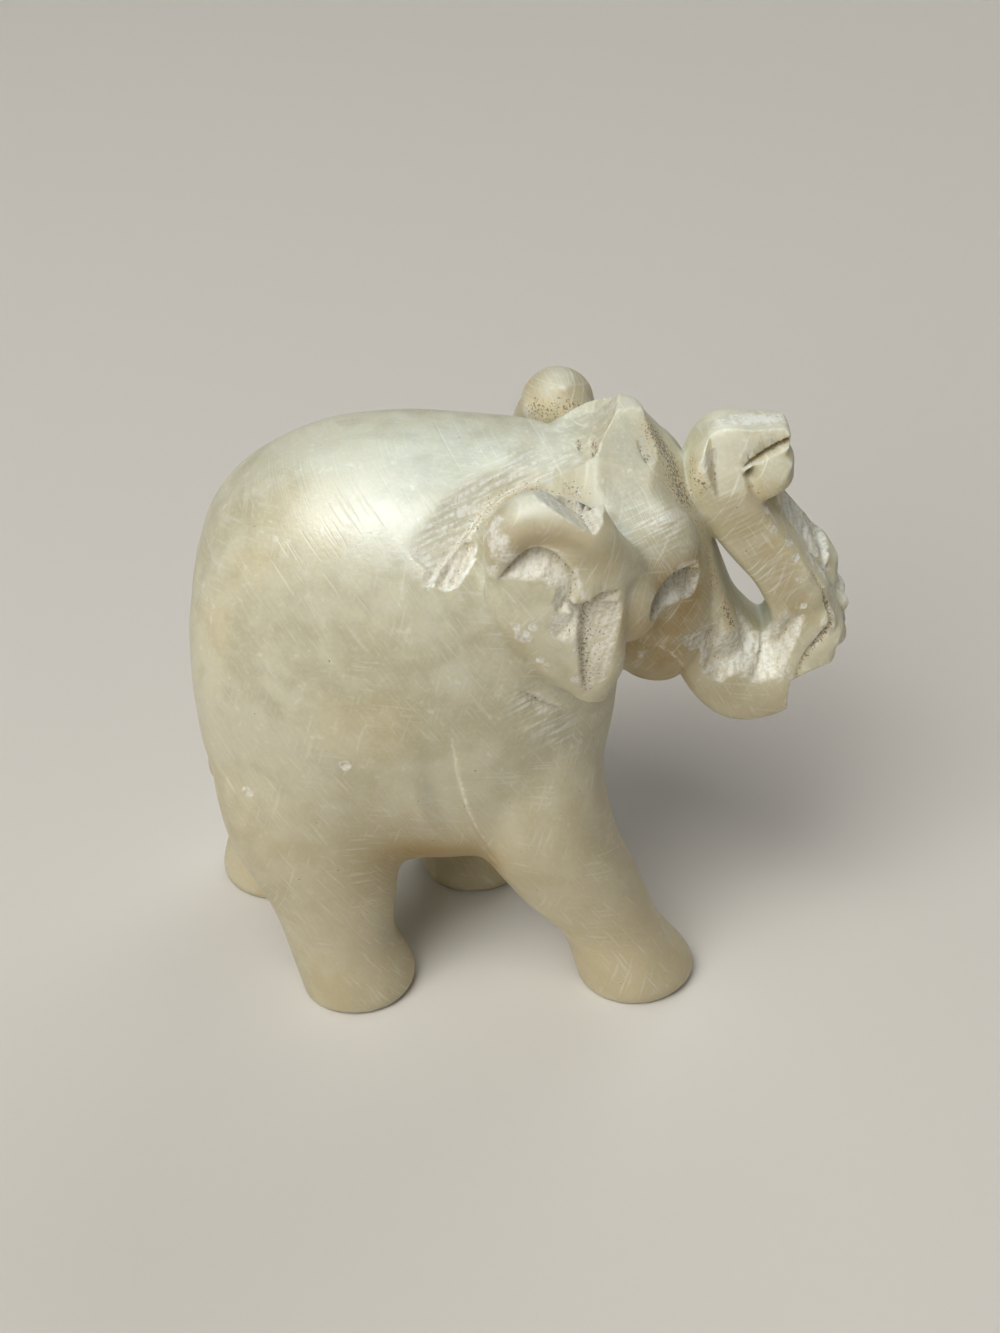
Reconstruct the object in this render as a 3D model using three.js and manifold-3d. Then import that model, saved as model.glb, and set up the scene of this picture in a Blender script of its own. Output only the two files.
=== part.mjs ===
// A small walking elephant carved from one block of soapstone, its trunk curled up against its forehead.
// Units are millimetres. +X runs from tail to head, +Y to the animal's left, +Z up.
// The origin is on the ground, under the middle of the carving's box.
import * as THREE from "three";
import { mergeVertices } from "three/addons/utils/BufferGeometryUtils.js";
import Module from "manifold-3d";

const wasm = await Module();
wasm.setup();

// Driving dimensions of the block and of the stance.
const BACK_HEIGHT = 55.0;
const BELLY_HEIGHT = 12.6;
const BODY_HALF_WIDTH = 15.2;
const HEAD_HALF_WIDTH = 10.2;
const FOOT_RADIUS = 5.6;
const SOLE_INSET = 0.35;
const ANKLE_RADIUS = 4.5;
const TRUNK_HALF_WIDTH = 4.1;
const TRUNK_HALF_THICKNESS = 2.7;
const EAR_OUT = 12.8;
const EAR_MIDDLE = 3.4;
const EAR_RIM_RADIUS = 2.1;
const NEAR = -1;
const FAR = 1;

// How finely each form is faceted.
const BODY_SIDES = 36;
const HEAD_SIDES = 24;
const LIMB_SIDES = 14;
const SMALL_SIDES = 8;
const DOME_RINGS = 3;
const MERGE_DISTANCE = 1e-4;

// Squareness of a section: 2 is an ellipse, more is a rounded rectangle.
const ROUND = 2.0;
const FULL = 2.4;
const BLOCKY = 3.2;

const X = new THREE.Vector3(1, 0, 0);
const Y = new THREE.Vector3(0, 1, 0);
const Z = new THREE.Vector3(0, 0, 1);
const point = (x, y, z) => new THREE.Vector3(x, y, z);
const smoothPath = (points) => new THREE.CatmullRomCurve3(points, false, "catmullrom", 0.5);

// A smooth run through stations of six numbers each, read at t from 0 to 1.
function runThrough(stations) {
  const places = smoothPath(stations.map(([x, y, z]) => point(x, y, z)));
  const sizes = smoothPath(stations.map(([, , , a, b, c]) => point(a, b, c)));
  return (t) => [...places.getPoint(t).toArray(), ...sizes.getPoint(t).toArray()];
}

// One ring of a superellipse about its centre, on two half axes.
function ring({ centre, across, over, squareness }, sides) {
  const bend = (value) => Math.sign(value) * Math.abs(value) ** (2 / squareness);
  return Array.from({ length: sides }, (_, i) => {
    const angle = (2 * Math.PI * i) / sides;
    return centre.clone()
      .addScaledVector(across, bend(Math.cos(angle)))
      .addScaledVector(over, bend(Math.sin(angle)));
  });
}

// A closed skin over a list of rings, each end drawn together at the middle of its last ring.
function skin(rings) {
  const sides = rings[0].length;
  const middle = (points) => points.reduce((sum, p) => sum.add(p), point(0, 0, 0)).divideScalar(sides);
  const points = [...rings.flat(), middle(rings[0]), middle(rings.at(-1))];
  const startTip = points.length - 2;
  const endTip = points.length - 1;
  const lastRing = (rings.length - 1) * sides;
  const triangles = [];
  for (let i = 0; i < sides; i++) {
    const next = (i + 1) % sides;
    for (let row = 0; row < lastRing; row += sides) {
      triangles.push(row + i, row + next, row + sides + next);
      triangles.push(row + i, row + sides + next, row + sides + i);
    }
    triangles.push(startTip, next, i);
    triangles.push(endTip, lastRing + i, lastRing + next);
  }
  return new THREE.BufferGeometry().setFromPoints(points).setIndex(triangles);
}

// The solid of a closed geometry, turned right side out.
function solid(geometry) {
  const bare = geometry.clone();
  bare.deleteAttribute("normal");
  bare.deleteAttribute("uv");
  const merged = mergeVertices(bare, MERGE_DISTANCE);
  const triVerts = new Uint32Array(merged.index.array);
  const vertProperties = new Float32Array(merged.attributes.position.array);
  const make = () => new wasm.Manifold(new wasm.Mesh({ numProp: 3, vertProperties, triVerts }));
  const made = make();
  if (made.volume() > 0) return made;
  for (let i = 0; i < triVerts.length; i += 3) {
    [triVerts[i + 1], triVerts[i + 2]] = [triVerts[i + 2], triVerts[i + 1]];
  }
  return make();
}

// A solid lofted through stations. section(numbers, t) gives a ring's centre, half axes and squareness;
// startDome and endDome round the ends off by that length along the way the loft runs.
function loft({ stations, section, rings, sides, startDome = 0, endDome = 0 }) {
  const read = runThrough(stations);
  const body = Array.from({ length: rings }, (_, i) => section(read(i / (rings - 1)), i / (rings - 1)));
  const dome = (end, inner, length) => {
    const along = end.centre.clone().sub(inner.centre).normalize();
    return Array.from({ length: DOME_RINGS }, (_, i) => {
      const angle = ((i + 1) / (DOME_RINGS + 0.35)) * (Math.PI / 2);
      return {
        centre: end.centre.clone().addScaledVector(along, length * Math.sin(angle)),
        across: end.across.clone().multiplyScalar(Math.cos(angle)),
        over: end.over.clone().multiplyScalar(Math.cos(angle)),
        squareness: end.squareness,
      };
    });
  };
  const all = [
    ...(startDome ? dome(body[0], body[1], startDome).reverse() : []),
    ...body,
    ...(endDome ? dome(body.at(-1), body.at(-2), endDome) : []),
  ];
  return solid(skin(all.map((one) => ring(one, sides))));
}

// Sections that stand across the animal's length: x, y, top, bottom, half width, squareness.
const uprightSection = ([x, y, top, bottom, halfWidth, squareness]) => ({
  centre: point(x, y, (top + bottom) / 2),
  across: Y.clone().multiplyScalar(halfWidth),
  over: Z.clone().multiplyScalar((top - bottom) / 2),
  squareness,
});

// Sections that lie level: x, y, z, half length, half width, squareness.
const levelSection = ([x, y, z, halfLength, halfWidth, squareness]) => ({
  centre: point(x, y, z),
  across: X.clone().multiplyScalar(halfLength),
  over: Y.clone().multiplyScalar(halfWidth),
  squareness,
});

// Sections carried square to a path that bends in an upright plane:
// x, y, z, half width, half thickness, squareness.
function carriedSection(stations) {
  const path = smoothPath(stations.map(([x, y, z]) => point(x, y, z)));
  return ([x, y, z, halfWidth, halfThickness, squareness], t) => ({
    centre: point(x, y, z),
    across: Y.clone().multiplyScalar(halfWidth),
    over: path.getTangent(t).cross(Y).normalize().multiplyScalar(halfThickness),
    squareness,
  });
}

// A rounded lump on three half axes.
function lump(centre, halfLength, halfWidth, halfHeight) {
  const geometry = new THREE.SphereGeometry(1, LIMB_SIDES, SMALL_SIDES);
  geometry.scale(halfLength, halfWidth, halfHeight);
  geometry.translate(...centre.toArray());
  return solid(geometry);
}

// A hollow scooped along a path with a round gouge.
function gouge(points, radius, stepsEach = 3) {
  const round = new THREE.Shape().absarc(0, 0, radius, 0, 2 * Math.PI);
  return solid(new THREE.ExtrudeGeometry(round, {
    steps: stepsEach * (points.length - 1), curveSegments: SMALL_SIDES, extrudePath: smoothPath(points),
  }));
}

// A straight chisel cut from one surface point to another: width is its full opening at the surface.
function chisel(from, to, out, width, depth) {
  const run = to.clone().sub(from).normalize();
  const side = point(0, 0, 0).crossVectors(out, run).normalize();
  const up = point(0, 0, 0).crossVectors(run, side);
  const wedge = new THREE.Shape([
    new THREE.Vector2(0, -depth), new THREE.Vector2(width, depth), new THREE.Vector2(-width, depth),
  ]);
  const prism = new THREE.ExtrudeGeometry(wedge, { depth: from.distanceTo(to), bevelEnabled: false });
  prism.applyMatrix4(new THREE.Matrix4().makeBasis(side, up, run).setPosition(from));
  return solid(prism);
}

// The barrel of the body, from the rump to the chest.
function makeBarrel() {
  const stations = [
    [-24.0, 0, 50.2, 15.4, 11.6, FULL],
    [-18.5, 0, 53.8, 13.4, 14.1, FULL],
    [-11.5, 0, BACK_HEIGHT, BELLY_HEIGHT, BODY_HALF_WIDTH, FULL],
    [-4.5, 0, BACK_HEIGHT - 0.2, BELLY_HEIGHT, BODY_HALF_WIDTH - 0.3, FULL],
    [1.5, 0, 54.2, 14.2, 13.4, ROUND],
    [6.0, 0, 51.6, 17.6, 10.4, ROUND],
  ];
  return loft({
    stations, section: uprightSection, rings: 17, sides: BODY_SIDES, startDome: 5.6, endDome: 3.6,
  });
}

// The tail hangs down the middle of the rump, in relief, and ends above the hocks.
function makeTail() {
  const stations = [
    [-28.2, 0.4, 43.0, 0.9, 1.2, ROUND],
    [-28.3, 0.5, 38.0, 1.3, 1.3, ROUND],
    [-28.2, 0.6, 31.0, 1.6, 1.4, ROUND],
    [-28.0, 0.8, 24.0, 1.8, 1.5, ROUND],
    [-27.9, 1.0, 18.5, 2.0, 1.7, ROUND],
  ];
  return loft({
    stations, section: levelSection, rings: 7, sides: SMALL_SIDES, startDome: 1.0, endDome: 2.4,
  });
}

// The head, from under the jaw up to the crown.
function makeHead() {
  const stations = [
    [12.6, 0, 31.6, 3.2, 3.4, ROUND],
    [11.6, 0, 35.0, 5.8, 6.4, FULL],
    [10.1, 0, 39.5, 8.0, HEAD_HALF_WIDTH - 1.6, FULL],
    [8.9, 0, 44.0, 8.6, HEAD_HALF_WIDTH - 0.3, FULL],
    [8.2, 0, 48.0, 8.2, HEAD_HALF_WIDTH, FULL],
    [7.5, 0, 51.8, 6.9, HEAD_HALF_WIDTH - 1.2, ROUND],
    [7.9, 0, 54.8, 4.2, 6.2, ROUND],
    [8.7, 0, 56.6, 2.1, 3.2, ROUND],
  ];
  return loft({
    stations, section: levelSection, rings: 14, sides: HEAD_SIDES, startDome: 1.0, endDome: 0.9,
  });
}

// The trunk comes down off the face, turns up in a thick bend and climbs back to the forehead,
// where its upper lip points forward.
function makeTrunk() {
  const stations = [
    [13.4, 0, 44.6, TRUNK_HALF_WIDTH + 1.4, 3.8, BLOCKY],
    [15.9, 0, 39.4, TRUNK_HALF_WIDTH + 1.2, 3.2, BLOCKY],
    [17.7, 0, 34.8, TRUNK_HALF_WIDTH + 1.0, 3.7, BLOCKY],
    [20.9, 0, 31.3, TRUNK_HALF_WIDTH + 0.8, 4.3, BLOCKY],
    [24.6, 0, 32.6, TRUNK_HALF_WIDTH + 0.5, 3.5, BLOCKY],
    [25.9, 0, 37.0, TRUNK_HALF_WIDTH + 0.2, 3.0, BLOCKY],
    [23.6, 0, 42.2, TRUNK_HALF_WIDTH, TRUNK_HALF_THICKNESS, BLOCKY],
    [20.0, 0, 46.8, TRUNK_HALF_WIDTH, TRUNK_HALF_THICKNESS, BLOCKY],
    [17.4, 0, 50.8, TRUNK_HALF_WIDTH, TRUNK_HALF_THICKNESS, BLOCKY],
    [17.8, 0, 53.5, TRUNK_HALF_WIDTH - 0.4, 2.2, BLOCKY],
    [20.4, 0, 54.5, TRUNK_HALF_WIDTH - 0.8, 1.2, BLOCKY],
    [22.6, 0, 54.8, TRUNK_HALF_WIDTH - 1.2, 0.9, BLOCKY],
  ];
  return loft({
    stations, section: carriedSection(stations), rings: 34, sides: LIMB_SIDES, endDome: 0.8,
  });
}

// The lower lip under the trunk's tip.
const makeLip = () => lump(point(21.0, 0.4, 51.9), 2.5, 3.2, 1.5);

// A thin wavy flange along the outside of the raised trunk, round to the bend.
function makeFlange() {
  const stations = [
    [22.6, 1.6, 48.2, 2.2, 0.9, ROUND],
    [26.6, 1.6, 42.6, 2.3, 1.4, ROUND],
    [28.6, 1.5, 37.4, 2.2, 1.5, ROUND],
    [28.2, 1.0, 33.0, 2.2, 1.3, ROUND],
    [25.8, 0.4, 30.2, 2.0, 1.0, ROUND],
  ];
  return loft({
    stations, section: carriedSection(stations), rings: 12, sides: SMALL_SIDES, startDome: 0.8, endDome: 0.8,
  });
}

// A leg, from its sole up into the barrel. The sole is a little smaller than the foot above it.
function makeLeg([sole, ...rest]) {
  const foot = [[sole[0], sole[1], 0, sole[3] - SOLE_INSET, sole[4] - SOLE_INSET, ROUND], sole, ...rest];
  return loft({ stations: foot, section: levelSection, rings: 12, sides: LIMB_SIDES, endDome: 2 });
}

const LEGS = {
  nearRear: [
    [-15.4, -8.9, 1.6, FOOT_RADIUS, FOOT_RADIUS, ROUND],
    [-16.4, -9.0, 6.4, ANKLE_RADIUS + 0.3, ANKLE_RADIUS, ROUND],
    [-17.4, -8.8, 11.6, 6.2, 5.0, ROUND],
    [-18.5, -8.0, 18.0, 8.2, 6.1, ROUND],
    [-18.4, -6.8, 25.0, 9.4, 6.8, ROUND],
    [-17.8, -5.2, 33.0, 8.8, 7.0, ROUND],
  ],
  farRear: [
    [-24.6, 7.8, 1.6, FOOT_RADIUS, FOOT_RADIUS, ROUND],
    [-24.2, 8.2, 6.4, ANKLE_RADIUS + 0.2, ANKLE_RADIUS, ROUND],
    [-23.0, 8.4, 11.6, 5.4, 5.0, ROUND],
    [-21.4, 7.8, 18.0, 7.0, 5.9, ROUND],
    [-19.6, 6.6, 25.0, 8.4, 6.6, ROUND],
    [-18.4, 5.2, 33.0, 8.4, 7.0, ROUND],
  ],
  nearFront: [
    [11.4, -7.6, 1.8, FOOT_RADIUS + 0.2, FOOT_RADIUS, ROUND],
    [8.7, -8.0, 6.6, ANKLE_RADIUS + 0.2, ANKLE_RADIUS, ROUND],
    [5.2, -8.3, 12.0, 5.6, 5.1, ROUND],
    [2.2, -8.2, 18.6, 6.4, 5.8, ROUND],
    [0.8, -7.0, 26.0, 7.0, 6.2, ROUND],
    [0.4, -5.6, 34.0, 7.2, 6.4, ROUND],
  ],
  farFront: [
    [-4.0, 8.8, 1.6, FOOT_RADIUS, FOOT_RADIUS, ROUND],
    [-3.6, 8.8, 6.4, ANKLE_RADIUS, ANKLE_RADIUS, ROUND],
    [-2.4, 8.6, 11.6, 5.2, 4.9, ROUND],
    [-0.8, 8.1, 18.0, 6.2, 5.6, ROUND],
    [0.2, 7.0, 26.0, 7.0, 6.2, ROUND],
    [0.4, 5.6, 34.0, 7.2, 6.4, ROUND],
  ],
};

// An ear lies against the shoulder, its tip low and its top standing clear of the neck.
function makeEar(side, middleLength, topLength) {
  const stations = [
    [6.2, (EAR_OUT - 0.7) * side, 36.2, 1.6, 1.2, ROUND],
    [5.0, (EAR_OUT - 0.1) * side, 39.5, 4.0, 2.0, ROUND],
    [3.6, (EAR_OUT + 0.2) * side, 44.0, 5.4, 2.3, ROUND],
    [3.2, EAR_OUT * side, 48.5, middleLength, 2.4, ROUND],
    [3.5, (EAR_OUT - 0.5) * side, 51.6, topLength, 2.5, ROUND],
    [3.7, (EAR_OUT - 1.4) * side, 53.6, topLength - 1.4, 2.3, ROUND],
  ];
  return loft({
    stations, section: levelSection, rings: 11, sides: LIMB_SIDES, startDome: 1.0, endDome: 1.4,
  });
}

// The thick rim rolls over the top of an ear and runs down its front into the cheek.
// spread draws its top in towards the middle of the ear, and drop lowers it.
function makeRim(side, { spread, drop }) {
  const top = [
    [-4.9, 0.2, 49.4, 1.6, 1.2],
    [-4.3, 0.1, 52.0, EAR_RIM_RADIUS, 1.8],
    [-2.4, -0.2, 53.6, EAR_RIM_RADIUS + 0.2, EAR_RIM_RADIUS],
    [0.6, -0.2, 53.4, EAR_RIM_RADIUS + 0.2, EAR_RIM_RADIUS],
  ].map(([x, out, z, ...sizes]) => [
    EAR_MIDDLE + x * spread, (EAR_OUT + out) * side, z - drop, ...sizes, ROUND,
  ]);
  const front = [
    [6.4, (EAR_OUT - 0.4) * side, 51.2 - drop, EAR_RIM_RADIUS + 0.2, EAR_RIM_RADIUS, ROUND],
    [8.2, (EAR_OUT - 1.6) * side, 48.2, EAR_RIM_RADIUS + 0.2, EAR_RIM_RADIUS, ROUND],
    [9.6, (EAR_OUT - 3.8) * side, 45.0, EAR_RIM_RADIUS, EAR_RIM_RADIUS, ROUND],
  ];
  const stations = [...top, ...front];
  return loft({
    stations, section: carriedSection(stations), rings: 13, sides: SMALL_SIDES, startDome: 1.0, endDome: 1.0,
  });
}

// The full cheek in front of an ear.
const makeCheek = (side) => lump(point(9.4, 6.4 * side, 46.4), 6.2, 4.5, 6.4);

// The gouged line behind an ear, from the shoulder up to the neck and over behind the crown.
function cutNeck() {
  const nearHalf = [
    point(-6.5, -12.7, 48.0), point(-4.4, -11.3, 50.4), point(-1.8, -9.0, 53.0),
    point(1.2, -7.6, 54.2), point(4.0, -6.6, 54.6), point(5.4, -4.4, 55.6),
  ];
  const farHalf = nearHalf.map(({ x, y, z }) => point(x, -y, z)).reverse();
  return gouge([...nearHalf, point(5.2, 0, 56.4), ...farHalf], 1.5, 2);
}

// The carving on one side of the head: the hollow under the ear's rim, the notch below it, the long facet
// down the ear's front, the cut under its lower edge, the pit above it and the corner of the mouth.
function cutsOfSide(side) {
  const at = (x, out, z) => point(x, out * side, z);
  const outward = point(0, side, 0);
  const forward = point(0.6, 0.8 * side, 0);
  return [
    gouge([at(-0.9, 14.8, 49.0), at(0.5, 14.9, 50.8), at(2.0, 15.0, 51.3), at(3.6, 15.2, 50.4),
      at(4.7, 15.3, 47.6)], 1.2),
    chisel(at(3.4, 15.0, 46.4), at(8.8, 13.2, 47.3), outward, 1.6, 1.4),
    chisel(at(8.2, 13.6, 46.8), at(6.3, 13.4, 37.4), forward, 3.0, 1.6),
    gouge([at(0.2, 13.9, 37.4), at(2.3, 13.1, 35.8), at(4.3, 11.9, 34.5)], 0.7, 2),
    chisel(at(4.6, 8.4, 55.0), at(6.0, 13.4, 52.8), point(0.3, 0.4 * side, 1), 3.0, 1.2),
    chisel(at(13.0, 9.6, 43.6), at(17.6, 5.4, 42.2), forward, 3.0, 2.0),
  ];
}

// The slit between the lips of the trunk's tip, the groove beside the bend and the notches along the flange.
function cutsOfTrunk() {
  const halfReach = TRUNK_HALF_WIDTH + 1;
  const slit = chisel(point(23.4, -halfReach, 53.4), point(23.4, halfReach, 53.4), X, 1.3, 3.6);
  const bendGroove = chisel(point(24.8, -5.4, 29.4), point(25.6, -4.6, 33.8), point(0.2, -1, 0), 1.4, 1.2);
  const notches = [[24.6, 46.6], [26.9, 43.2], [28.9, 39.7], [30.0, 35.6], [28.9, 31.6]].map(([x, z]) => chisel(
    point(x, -halfReach, z), point(x, halfReach, z + 0.6), point(1, 0, (z - 36) / 14), 1.6, 0.7,
  ));
  return [slit, bendGroove, ...notches];
}

// The far ear is narrower at the top than the near one.
const EARS = [
  { side: NEAR, middleLength: 5.8, topLength: 5.0, rim: { spread: 1, drop: 0 } },
  { side: FAR, middleLength: 4.2, topLength: 3.3, rim: { spread: 0.4, drop: 1.2 } },
];
const masses = [
  makeBarrel(), makeTail(), makeHead(), makeTrunk(), makeLip(), makeFlange(),
  ...Object.values(LEGS).map(makeLeg),
  ...EARS.flatMap(({ side, middleLength, topLength, rim }) => [
    makeEar(side, middleLength, topLength), makeRim(side, rim), makeCheek(side),
  ]),
];
const cuts = [cutNeck(), ...cutsOfSide(NEAR), ...cutsOfSide(FAR), ...cutsOfTrunk()];
const block = masses.reduce((whole, mass) => whole.add(mass));
const carved = cuts.reduce((whole, cut) => whole.subtract(cut), block);

// The carved stone as a three.js geometry.
function geometryOf(manifold) {
  const { vertProperties, triVerts } = manifold.getMesh();
  return new THREE.BufferGeometry()
    .setAttribute("position", new THREE.BufferAttribute(vertProperties, 3))
    .setIndex(new THREE.BufferAttribute(triVerts, 1));
}

const soapstone = new THREE.MeshStandardMaterial({ color: 0xc9c4a6, roughness: 0.42, metalness: 0 });
const elephant = new THREE.Mesh(geometryOf(carved), soapstone);
elephant.name = "elephant";

const group = new THREE.Group();
group.add(elephant);
export default group;
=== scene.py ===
# %% [markdown]
# A small elephant carved from one block of soapstone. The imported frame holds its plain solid; this
# lesson builds the finished stone around it: the same masses as smooth surfaces, melted into one skin,
# then cut, worn and dirtied as the hand-made piece is, and given a waxy, slightly see-through finish.
# The frame comes first, because every size below is measured against it.

# %% Load the frame
from collections import namedtuple

import bpy
import numpy as np
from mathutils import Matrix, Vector


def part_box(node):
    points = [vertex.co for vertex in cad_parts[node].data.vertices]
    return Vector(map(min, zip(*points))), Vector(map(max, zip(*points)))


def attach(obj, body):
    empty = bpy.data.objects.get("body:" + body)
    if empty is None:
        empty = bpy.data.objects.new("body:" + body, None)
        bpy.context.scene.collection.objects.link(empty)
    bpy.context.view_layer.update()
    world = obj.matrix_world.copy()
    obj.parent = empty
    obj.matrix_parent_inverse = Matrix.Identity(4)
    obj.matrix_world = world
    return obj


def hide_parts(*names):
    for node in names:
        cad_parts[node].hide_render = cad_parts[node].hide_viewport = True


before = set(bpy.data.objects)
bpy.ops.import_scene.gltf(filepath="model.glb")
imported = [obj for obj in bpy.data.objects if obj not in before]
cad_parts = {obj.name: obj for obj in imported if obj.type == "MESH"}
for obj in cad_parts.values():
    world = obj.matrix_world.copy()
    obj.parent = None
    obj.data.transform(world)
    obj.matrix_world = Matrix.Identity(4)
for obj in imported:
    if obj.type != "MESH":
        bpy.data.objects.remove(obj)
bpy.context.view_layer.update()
cad_low, cad_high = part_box("elephant")
DESIGN_LENGTH = 60.3
MM = (cad_high.x - cad_low.x) / DESIGN_LENGTH
print("one design millimetre is", round(MM * 1000, 4), "mm in the frame")

# %% [markdown]
# The camera comes next, so that each later step can be judged from the photograph's angle. The soles all
# stand on one level, which gives the pitch, and the size of the feet gives the distance. Blender wants a
# lens in millimetres: the focal length in pixels over the long side of the image, on a 36 mm sensor.

# %% Camera
IMAGE_SIZE = (1000, 1333)
FOCAL_PIXELS = 2002.0
CAMERA_PLACE = (-1.5, -153.1, 135.0)
CAMERA_PITCH = 34.3


def add_camera():
    """A camera at CAMERA_PLACE, looking along +Y and down by CAMERA_PITCH degrees."""
    data = bpy.data.cameras.new("photo_camera")
    data.sensor_width = 36.0
    data.lens = FOCAL_PIXELS / max(IMAGE_SIZE) * data.sensor_width
    data.clip_start = 0.005
    camera = bpy.data.objects.new("photo_camera", data)
    camera.location = Vector(CAMERA_PLACE) * MM
    camera.rotation_euler = (np.radians(90.0 - CAMERA_PITCH), 0.0, 0.0)
    bpy.context.scene.collection.objects.link(camera)
    bpy.context.scene.camera = camera
    print("lens", round(data.lens, 2), "mm")


add_camera()

# %% [markdown]
# Every mass of the carving is a rounded section carried along a path: the barrel along the back, each
# leg from its sole upwards, the trunk down the face and up again. The sizes stand in short tables of
# stations, and a smooth curve through the stations gives as many sections as the surface needs.

# %% Stations and sections
X_AXIS, Y_AXIS, Z_AXIS = np.eye(3)
ROUND, FULL, BLOCKY = 2.0, 2.4, 5.0


def run_through(stations, count):
    """Reads a table at count even steps. Between two rows b and c, with a before and d after, a column is
    half of 2b + (c - a)u + (2a - 5b + 4c - d)u^2 + (3b - a - 3c + d)u^3, a Catmull-Rom curve."""
    rows = np.asarray(stations, float)
    rows = np.vstack([2 * rows[0] - rows[1], rows, 2 * rows[-1] - rows[-2]])
    t = np.linspace(0, len(stations) - 1, count)
    i = np.minimum(t.astype(int), len(stations) - 2)
    u = (t - i)[:, None]
    a, b, c, d = rows[i], rows[i + 1], rows[i + 2], rows[i + 3]
    return 0.5 * (2 * b + (c - a) * u + (2 * a - 5 * b + 4 * c - d) * u**2 + (3 * b - a - 3 * c + d) * u**3)


def level(rows):
    """Level sections: x, y, z, half length along X, half width along Y, squareness."""
    return rows[:, :3], rows[:, 3:4] * X_AXIS, rows[:, 4:5] * Y_AXIS, rows[:, 5]


def upright(rows):
    """Sections across the length: x, y, top, bottom, half width, squareness."""
    centre = np.column_stack([rows[:, 0], rows[:, 1], (rows[:, 2] + rows[:, 3]) / 2])
    half_height = (rows[:, 2:3] - rows[:, 3:4]) / 2
    return centre, rows[:, 4:5] * Y_AXIS, half_height * Z_AXIS, rows[:, 5]


def carried(rows):
    """Sections square to a path in an upright plane: x, y, z, half width along Y, half thickness along
    the path's tangent crossed with Y, squareness."""
    tangent = np.gradient(rows[:, :3], axis=0)
    over = np.cross(tangent, Y_AXIS)
    over /= np.linalg.norm(over, axis=1, keepdims=True)
    return rows[:, :3], rows[:, 3:4] * Y_AXIS, over * rows[:, 4:5], rows[:, 5]


print("squareness: round", ROUND, "full", FULL, "blocky", BLOCKY)

# %% [markdown]
# A loft joins the sections into one closed surface. Each section is a superellipse, a circle that a power
# makes squarer, so one formula gives the round feet, the full barrel and the blocky trunk. A mass that ends
# in the open gets a dome instead of a flat lid.

# %% Lofts
DOME_STEPS = 10


def domed(centre, across, over, square, length, at_start):
    """More sections past one end: they shrink by the cosine of an angle while they move on by its sine
    times the dome's length."""
    end, inner = (0, 1) if at_start else (-1, -2)
    along = centre[end] - centre[inner]
    along /= np.linalg.norm(along)
    angle = np.linspace(0, np.pi / 2, DOME_STEPS + 2)[1:-1, None]
    more = (
        centre[end] + along * length * np.sin(angle),
        across[end] * np.cos(angle),
        over[end] * np.cos(angle),
        np.full(DOME_STEPS, square[end]),
    )
    if at_start:
        return [np.concatenate([new[::-1], old]) for new, old in zip(more, (centre, across, over, square))]
    return [np.concatenate([old, new]) for new, old in zip(more, (centre, across, over, square))]


def loft(stations, axes, rings=60, sides=72, start_dome=0.0, end_dome=0.0):
    """A closed surface of two parameters: station t and angle v give centre + across*cos(v)^(2/n) +
    over*sin(v)^(2/n), signs kept, with n the squareness. Each end closes on the middle of its ring."""
    parts = axes(run_through(stations, rings))
    if start_dome:
        parts = domed(*parts, start_dome, True)
    if end_dome:
        parts = domed(*parts, end_dome, False)
    centre, across, over, square = parts
    angle = np.linspace(0, 2 * np.pi, sides, endpoint=False)
    power = (2 / square)[:, None]
    cosine = np.sign(np.cos(angle)) * np.abs(np.cos(angle)) ** power
    sine = np.sign(np.sin(angle)) * np.abs(np.sin(angle)) ** power
    grid = centre[:, None] + across[:, None] * cosine[..., None] + over[:, None] * sine[..., None]
    count = len(grid)
    points = np.vstack([grid.reshape(-1, 3), centre[:1], centre[-1:]])
    index = np.arange(count * sides).reshape(count, sides)
    after = np.roll(index, -1, axis=1)
    low, low_next, high, high_next = index[:-1], after[:-1], index[1:], after[1:]
    start, end = np.full(sides, count * sides), np.full(sides, count * sides + 1)
    triangles = np.vstack([
        np.stack([low, low_next, high_next], -1).reshape(-1, 3),
        np.stack([low, high_next, high], -1).reshape(-1, 3),
        np.column_stack([start, after[0], index[0]]),
        np.column_stack([end, index[-1], after[-1]]),
    ])
    corner = points[triangles]
    volume = np.einsum("ij,ij->", corner[:, 0], np.cross(corner[:, 1], corner[:, 2]))
    return points, triangles if volume > 0 else triangles[:, ::-1]


print("a dome has", DOME_STEPS, "rings")

# %% [markdown]
# The barrel of the body is a loaf: full, rounded, a little narrower at the chest. Its sections stand
# across the length. The tail hangs in relief down the rump, as a slim level-sectioned strip.

# %% Barrel and tail
BACK_HEIGHT = 55.0
BELLY_HEIGHT = 12.6
BODY_HALF_WIDTH = 15.2
barrel = loft(
    [
        (-29.4, 0, 38.6, 26.8, 4.0, FULL),
        (-28.6, 0, 43.0, 22.4, 7.0, FULL),
        (-27.0, 0, 47.1, 18.3, 9.8, FULL),
        (-24.0, 0, 50.7, 15.4, 12.0, FULL),
        (-18.5, 0, 53.8, 13.4, 14.1, FULL),
        (-11.5, 0, BACK_HEIGHT, BELLY_HEIGHT, BODY_HALF_WIDTH, FULL),
        (-4.5, 0, BACK_HEIGHT - 0.2, BELLY_HEIGHT, BODY_HALF_WIDTH - 0.3, FULL),
        (1.5, 0, 54.9, 14.2, 13.4, ROUND),
        (6.0, 0, 53.4, 17.6, 10.4, ROUND),
    ],
    upright, rings=130, sides=140, start_dome=0.25, end_dome=3.6,
)
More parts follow.
